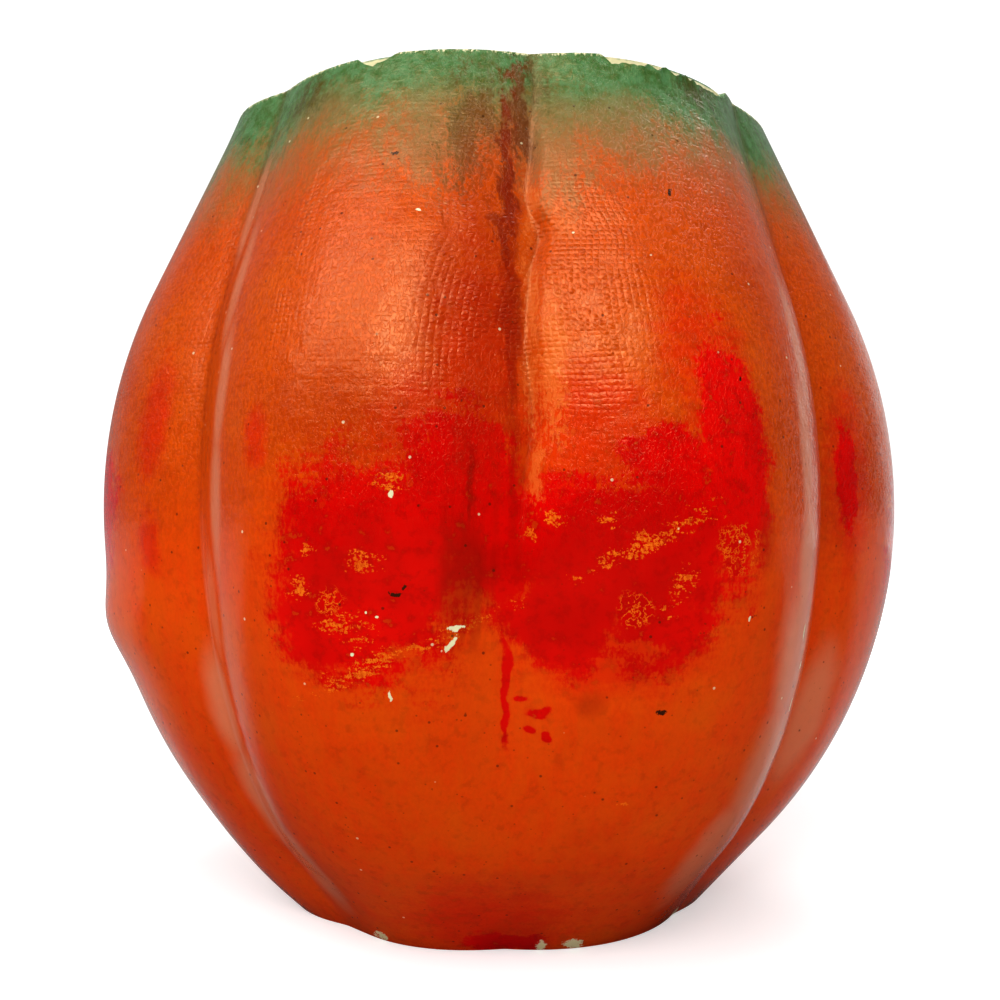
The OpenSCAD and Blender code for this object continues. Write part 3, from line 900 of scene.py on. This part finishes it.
painted_cloth = painted_cloth_finish()
gore_maker = gore_tree()
for number, lobe in enumerate(LOBES):
    gore = grown(f"painted_gore_{lobe}", gore_maker, {
        "Crest": CRESTS[number], "Groove before": GROOVES[number], "Groove after": GROOVES[number + 1],
        "Hem": HEM_RISE if lobe == "front_right" else 0.0, "Thickness": CLOTH_T,
        "Columns": GORE_COLUMNS, "Rows": GORE_ROWS, "Material": painted_cloth,
        **dict(zip(PASTE, paste_of(number)))})
    stand_for(gore, f"{lobe}_gore", painted_cloth)
    under = [half for half, spans in (("right_shell", right_half), ("left_shell", left_half))
             if number in [span[0] for span in spans]]
    width, length, area = flat_cut(number)


# Paper strips inside the joints
# A strip of brown wrapping paper is pasted over each joint on the inside, before the filling goes
# in. It holds the two halves of the shell together from foot to throat.
def fibre_finish(name, light, dark, roughness, depth, strength, sheen=0.0, **fibre):
    """Material of bare fibres, such as paper, wool or linen."""
    material, tree, shader, place = new_material(name)
    colour, fibres = fibrous(tree, place, light=light, dark=dark, **fibre)
    set_inputs(tree, shader, {"Base Color": colour, "Roughness": roughness, "Sheen Weight": sheen})
    bumped(tree, shader, fibres, depth, strength)
    return material


def coat(node, material):
    """Gives a node that keeps its own shape its finish."""
    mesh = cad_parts[node].data
    mesh.materials.clear()
    mesh.materials.append(material)


strip_paper = fibre_finish("strip_paper", paint(176, 142, 98), paint(142, 108, 68), 0.85, 0.08 * MM, 0.6,
                           waves=700, rough=0.7, low=0.35, high=0.7, draw=(1.0, 1.0, 0.3))
for node in ("joint_strip_front", "joint_strip_rear"):
    coat(node, strip_paper)


# Sawdust and base disc
# The body is packed with sawdust through the hole in its foot, and a disc of grey-brown pasteboard
# is glued into a recess over the hole. The tomato stands on that disc.
def sawdust_finish():
    material, tree, shader, place = new_material("sawdust")
    grains = add(tree, "ShaderNodeTexVoronoi", {"Vector": place, "Scale": 1400.0, "Randomness": 1.0})
    shade = axes(tree, grains.outputs["Color"])[0]
    set_inputs(tree, shader, {"Base Color": mix(shade, paint(222, 190, 140), paint(158, 112, 64)),
                              "Roughness": 0.95})
    bumped(tree, shader, 1.0 - Wire(tree, grains.outputs["Distance"]), 0.5 * MM, 0.8)
    return material


def pasteboard_finish():
    material, tree, shader, place = new_material("pasteboard")
    colour, fibres = fibrous(tree, place, 1100, 0.7, 0.4, 0.68, paint(150, 122, 88), paint(112, 86, 58),
                             (1.0, 0.35, 1.0))
    stains = noise(tree, place, 110, 4)
    colour = mix(ramp(stains, 0.5, 0.75) * 0.6, colour, paint(86, 62, 40))
    set_inputs(tree, shader, {"Base Color": colour, "Roughness": 0.75 + stains * 0.15})
    bumped(tree, shader, fibres + stains, 0.1 * MM, 0.6)
    return material


coat("sawdust_filling", sawdust_finish())
coat("base_disc", pasteboard_finish())

# Pin cushion
# A bag of moss-green velvet, packed hard with wool, is pushed into the mouth with its gathered end
# down. Its crown stands a little above the rim, where pins go in, and is worn pale there.
CROWN_H = 5.0 * MM
EDGE_R = 3.0 * MM
SIDE_R = 12.0 * MM
SWELL = 1.2 * MM
NECK_R = 3.0 * MM
NECK_L = 4.0 * MM
VELVET_T = 0.9 * MM
CUSHION_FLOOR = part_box("cushion_cover")[0].z + NECK_L
FRILL = 1.3 * MM
THREAD_D = 0.8 * MM
THREAD_Z = CUSHION_FLOOR - NECK_L / 2
ROUND_STEPS = 192
CROWN_STEPS = 40
EDGE_STEPS = 10
SIDE_STEPS = 24
UNDER_STEPS = 9
FRILL_STEPS = 4
ON_AXIS = 1e-7
PLEATS = 31
PLEAT_DEPTH = 0.22 * MM
PLEAT_REACH = 2.5 * MM
PLEATED_FROM = BODY_H - 8 * MM
GATHERS = 26
GATHER_RISE = 0.35 * MM
GATHER_REACH = 14 * MM
FRILL_WAVE = 0.3
BAG_SLACK = 0.1 * MM


def arc(x, z, r, start, end, steps):
    """Points on an arc about (x, z), turning from start to end in degrees."""
    turns = np.radians(np.linspace(start, end, steps))
    return [(x + r * math.cos(a), z + r * math.sin(a)) for a in turns]


def cushion_section(inset):
    """Radius and height of the cushion from the middle of its crown to the middle of its underside."""
    edge_z = BODY_H - EDGE_R
    run = MOUTH_R - EDGE_R
    rise = BODY_H + CROWN_H - edge_z
    crown_r = (run * run + rise * rise - EDGE_R * EDGE_R) / (2 * (rise - EDGE_R))
    crown_z = BODY_H + CROWN_H - crown_r
    meet = math.degrees(math.atan2(edge_z - crown_z, run))
    side_x = MOUTH_R + SWELL - SIDE_R
    waist = math.degrees(math.acos((SIDE_R - SWELL) / SIDE_R))
    crown = arc(0, crown_z, crown_r - inset, 90, meet, CROWN_STEPS)
    edge = arc(run, edge_z, EDGE_R - inset, meet, 0, EDGE_STEPS)
    side = arc(side_x, CUSHION_FLOOR + SIDE_R, SIDE_R - inset, waist, -90, SIDE_STEPS)
    return crown + edge[1:] + side


def bag_section():
    """The cushion's section, run on along its underside to the gathered neck and the frill below it."""
    section = cushion_section(0.0)
    inner_end = NECK_R + VELVET_T
    under = [(r, CUSHION_FLOOR) for r in np.linspace(section[-1][0], inner_end, UNDER_STEPS)[1:]]
    below_thread = THREAD_Z - THREAD_D / 2
    neck = [(NECK_R, THREAD_Z + THREAD_D / 2), (NECK_R, below_thread)]
    frill_l = NECK_L / 2 - THREAD_D / 2
    frill = [(NECK_R + FRILL * k / FRILL_STEPS, below_thread - frill_l * k / FRILL_STEPS)
             for k in range(1, FRILL_STEPS + 1)]
    return section + under + neck + frill


def lathe(section, shape):
    """A bmesh turned from a section about the axis, each point moved by shape(r, z, angle)."""
    bm = bmesh.new()
    rows = []
    for r, z in section:
        if r < ON_AXIS:
            rows.append([bm.verts.new((0, 0, z))] * ROUND_STEPS)
        else:
            angles = [math.tau * k / ROUND_STEPS for k in range(ROUND_STEPS)]
            rings = [shape(r, z, a) for a in angles]
            rows.append([bm.verts.new((q * math.sin(a), -q * math.cos(a), h))
                         for a, (q, h) in zip(angles, rings)])
    for one, two in zip(rows, rows[1:]):
        for k in range(ROUND_STEPS):
            after = (k + 1) % ROUND_STEPS
            corners = list(dict.fromkeys((one[k], one[after], two[after], two[k])))
            bm.faces.new(corners)
    bmesh.ops.recalc_face_normals(bm, faces=bm.faces)
    return bm


def pleated(r, z, angle):
    """Pleats where the velvet turns down into the throat, and gathers towards the neck."""
    edge = math.exp(-((z - BODY_H) / PLEAT_REACH) ** 2) if z > PLEATED_FROM else 0.0
    uneven = 0.6 + 0.4 * math.sin(3 * angle + 1.0) * math.sin(5 * angle)
    pleat = PLEAT_DEPTH * edge * uneven * math.cos(PLEATS * angle + 1.5 * math.sin(2 * angle))
    waves = math.cos(GATHERS * angle)
    if z < THREAD_Z:
        return r + (r - NECK_R) * FRILL_WAVE * waves, z
    near_neck = max(0.0, 1 - r / GATHER_REACH) if z < CUSHION_FLOOR + MM / 2 else 0.0
    return r - abs(pleat) - BAG_SLACK, z + GATHER_RISE * near_neck * waves


def velvet_finish():
    material, tree, shader, place = new_material("velvet")
    pile = noise(tree, place, 2600, 3, 0.6)
    brushed = noise(tree, place, 120, 4, 0.6)
    crown = ramp(axes(tree, place)[2], BODY_H + 1 * MM, BODY_H + CROWN_H)
    colour = mix(ramp(brushed, 0.35, 0.7), paint(62, 78, 34), paint(92, 106, 50))
    colour = mix(crown * ramp(brushed, 0.4, 0.75) * 0.7, colour, paint(148, 142, 88))
    colour = mix(ramp(pile, 0.35, 0.6) * 0.5, colour, paint(40, 52, 20))
    set_inputs(tree, shader, {"Base Color": colour, "Roughness": 0.9, "Sheen Weight": 0.5,
                              "Sheen Roughness": 0.4, "Sheen Tint": paint(190, 196, 120)})
    bumped(tree, shader, pile + brushed * 0.6, 0.15 * MM, 0.7)
    return material


def plumped(cover):
    """Swells the crown by a short cloth simulation. The bag is held in the throat and below it, and
    is worked on ten times as large, because the cloth's forces suit things of that size."""
    large = 10.0
    most = 0.9 * MM
    steps = 20
    bag = placed("plumping", cover.data.copy())
    bag.data.transform(((large, 0, 0, 0), (0, large, 0, 0), (0, 0, large, 0), (0, 0, 0, 1)))
    held = bag.vertex_groups.new(name="held")
    held.add([v.index for v in bag.data.vertices if v.co.z < (BODY_H - 1 * MM) * large], 1.0, "REPLACE")
    cloth = bag.modifiers.new("cloth", "CLOTH")
    cloth.settings.vertex_group_mass = "held"
    cloth.settings.use_pressure = True
    cloth.settings.uniform_pressure_force = 4.0
    cloth.settings.shrink_min = -0.03
    cloth.settings.effector_weights.gravity = 0.0
    for step in range(1, steps + 1):
        bpy.context.scene.frame_set(step)
    view = bpy.context.evaluated_depsgraph_get()
    swollen = bag.evaluated_get(view).data
    for point, end in zip(cover.data.vertices, swollen.vertices):
        way = end.co / large - point.co
        point.co += way * min(1.0, most / max(way.length, 1e-9))
    bpy.data.objects.remove(bag)
    bpy.context.scene.frame_set(1)


cover = finished("velvet_cover", lathe(bag_section(), pleated), 180)
plumped(cover)
thickness = cover.modifiers.new("thickness", "SOLIDIFY")
thickness.thickness = VELVET_T
thickness.offset = -1.0
settle(cover)

wool = fibre_finish("wool", paint(226, 214, 190), paint(188, 172, 142), 1.0, 0.5 * MM, 0.8, sheen=0.3,
                    waves=600, rough=0.75, low=0.35, high=0.65)
wool_section = cushion_section(VELVET_T * 1.5)
wool_section.append((0.0, wool_section[-1][1]))
stuffing = finished("wool_stuffing", lathe(wool_section, lambda r, z, angle: (r, z)), 180)
stand_for(stuffing, "cushion_stuffing", wool)
stand_for(cover, "cushion_cover", velvet_finish())

# Gathering thread
# Two plies of waxed linen thread, twisted together, are drawn tight round the neck of the bag. They
# shut it below the wool, and the bag's raw edge stands out under them as a frill.
PLY_TWISTS = 14
PLY_STEPS = 220
PLY_SIDES = 10
THREAD_FORM = ("Ring radius", "Ply radius", "Height", "Twists")


def thread_tree():
    """Node tree of a twisted ring: two round plies that wind about the ring's own line."""
    tree = bpy.data.node_groups.new("thread", "GeometryNodeTree")
    declare(tree, "OUTPUT", "Geometry", "Geometry")
    declare(tree, "INPUT", "Float", *THREAD_FORM)
    declare(tree, "INPUT", "Int", "Steps")
    declare(tree, "INPUT", "Material", "Material")
    given = add(tree, "NodeGroupInput").outputs
    ring_r, ply_r, level, twists = [Wire(tree, given[name]) for name in THREAD_FORM]
    m = TreeMaths(tree)
    round_way = Wire(tree, add(tree, "GeometryNodeInputIndex").outputs[0]) * math.tau
    round_way = round_way / Wire(tree, given["Steps"])
    both = add(tree, "GeometryNodeJoinGeometry")
    for phase in (0.0, math.pi):
        ring = add(tree, "GeometryNodeCurvePrimitiveCircle", {"Resolution": given["Steps"], "Radius": 1.0})
        wind = round_way * twists + phase
        out = ring_r + ply_r * m.cos(wind)
        line = joined(tree, out * m.cos(round_way), out * m.sin(round_way), level + ply_r * m.sin(wind))
        wound = add(tree, "GeometryNodeSetPosition", {"Geometry": ring.outputs[0], "Position": line})
        section = add(tree, "GeometryNodeCurvePrimitiveCircle", {"Resolution": PLY_SIDES, "Radius": ply_r})
        ply = add(tree, "GeometryNodeCurveToMesh",
                  {"Curve": wound.outputs[0], "Profile Curve": section.outputs[0]})
        tree.links.new(ply.outputs[0], both.inputs[0])
    hand_over(tree, both.outputs[0], given["Material"])
    return tree


linen = fibre_finish("thread", paint(222, 212, 186), paint(176, 160, 124), 0.6, 0.05 * MM, 0.6,
                     waves=4000, rough=0.6, low=0.35, high=0.7, detail=4.0)
thread = grown("linen_thread", thread_tree(), {
    "Ring radius": NECK_R + THREAD_D / 2, "Ply radius": THREAD_D / 4, "Height": THREAD_Z,
    "Twists": float(PLY_TWISTS), "Steps": PLY_STEPS, "Material": linen}, 180)
stand_for(thread, "gathering_thread", linen)

# Floor and light
# A pale floor fades into a white surround, which is bright behind the tomato and dark behind the
# camera. One broad soft light hangs above, to the left of the camera, and four smaller ones lift the
# front, the right side and the back. In the gloss the floor is dark in front and bright behind.
STAGE_R = 2.0
FLOOR_DROP = 0.05 * MM
FLOOR_FADE = (0.10, 0.26)
FLOOR_GLOW = (0.42, 1.0)
FLOOR_GREY = (0.72, 0.72, 0.72, 1.0)
MIRRORED_GREY = (0.06, 0.06, 0.06, 1.0)
MIRRORED_FROM = (-0.015, 0.02)
MIRRORED_GLOW = 0.4
WHITE = (1.0, 1.0, 1.0, 1.0)
SURROUND_FRONT = (0.03, 0.03, 0.03, 1.0)
SURROUND_BEHIND = (0.3, 0.3, 0.3, 1.0)
LIGHT_AWAY = 0.5
floor_mesh = bpy.data.meshes.new("floor")
bm = bmesh.new()
bmesh.ops.create_circle(bm, cap_ends=True, radius=STAGE_R, segments=96)
bm.to_mesh(floor_mesh)
bm.free()
floor = placed("floor", floor_mesh)
floor.location.z = -FLOOR_DROP


def floor_finish():
    """Matt and pale. Where it is seen directly, it brightens to the surround's white."""
    material, tree, shader, place = new_material("pale_floor")
    x, y, _ = axes(tree, place)
    away = ramp(TreeMaths(tree).sqrt(x * x + y * y), *FLOOR_FADE)
    ray = add(tree, "ShaderNodeLightPath").outputs
    near, far = FLOOR_GLOW
    glow = Wire(tree, ray["Is Camera Ray"]) * (away * (far - near) + near)
    mirrored = Wire(tree, ray["Is Glossy Ray"])
    behind = ramp(y, *MIRRORED_FROM)
    set_inputs(tree, shader, {
        "Emission Strength": glow + mirrored * behind * MIRRORED_GLOW, "Emission Color": WHITE,
        "Base Color": mix(mirrored, FLOOR_GREY, MIRRORED_GREY), "Roughness": 0.9,
        "Specular IOR Level": 0.1})
    return material


floor_mesh.materials.append(floor_finish())


def white_surround():
    world = bpy.data.worlds.new("surround")
    world.use_nodes = True
    tree = world.node_tree
    behind = ramp(axes(tree, add(tree, "ShaderNodeTexCoord").outputs["Generated"])[1], 0.35, 0.65)
    seen = Wire(tree, add(tree, "ShaderNodeLightPath").outputs["Is Camera Ray"])
    shade = mix(behind, SURROUND_FRONT, SURROUND_BEHIND)
    plug(tree, tree.nodes["Background"].inputs["Color"], mix(seen, shade, WHITE))
    return world


def soft_light(name, bearing, rise, width, height, watts, mirrored=True):
    """A rectangular light at a bearing from the front and a rise in degrees, turned to the belly."""
    lamp = bpy.data.lights.new(name, "AREA")
    lamp.shape = "RECTANGLE"
    lamp.size = width
    lamp.size_y = height
    lamp.energy = watts
    made = placed(name, lamp)
    level = LIGHT_AWAY * math.cos(math.radians(rise))
    out = Vector((level * math.sin(math.radians(bearing)), -level * math.cos(math.radians(bearing)),
                  LIGHT_AWAY * math.sin(math.radians(rise))))
    made.location = Vector((0, 0, BELLY_Z)) + out
    made.rotation_euler = out.to_track_quat("Z", "Y").to_euler()
    made.visible_glossy = mirrored


bpy.context.scene.world = white_surround()
bpy.context.scene.view_settings.view_transform = "Standard"
bpy.context.scene.view_settings.look = "Medium High Contrast"
soft_light("overhead", -32, 45, 0.62, 0.36, 2.2)
soft_light("front", -1, 36, 0.24, 0.22, 0.7)
soft_light("fill", 80, 20, 0.5, 0.4, 0.35, mirrored=False)
soft_light("side", 142, 8, 0.35, 0.2, 0.12)
soft_light("back", 145, 60, 0.3, 0.3, 1.0)
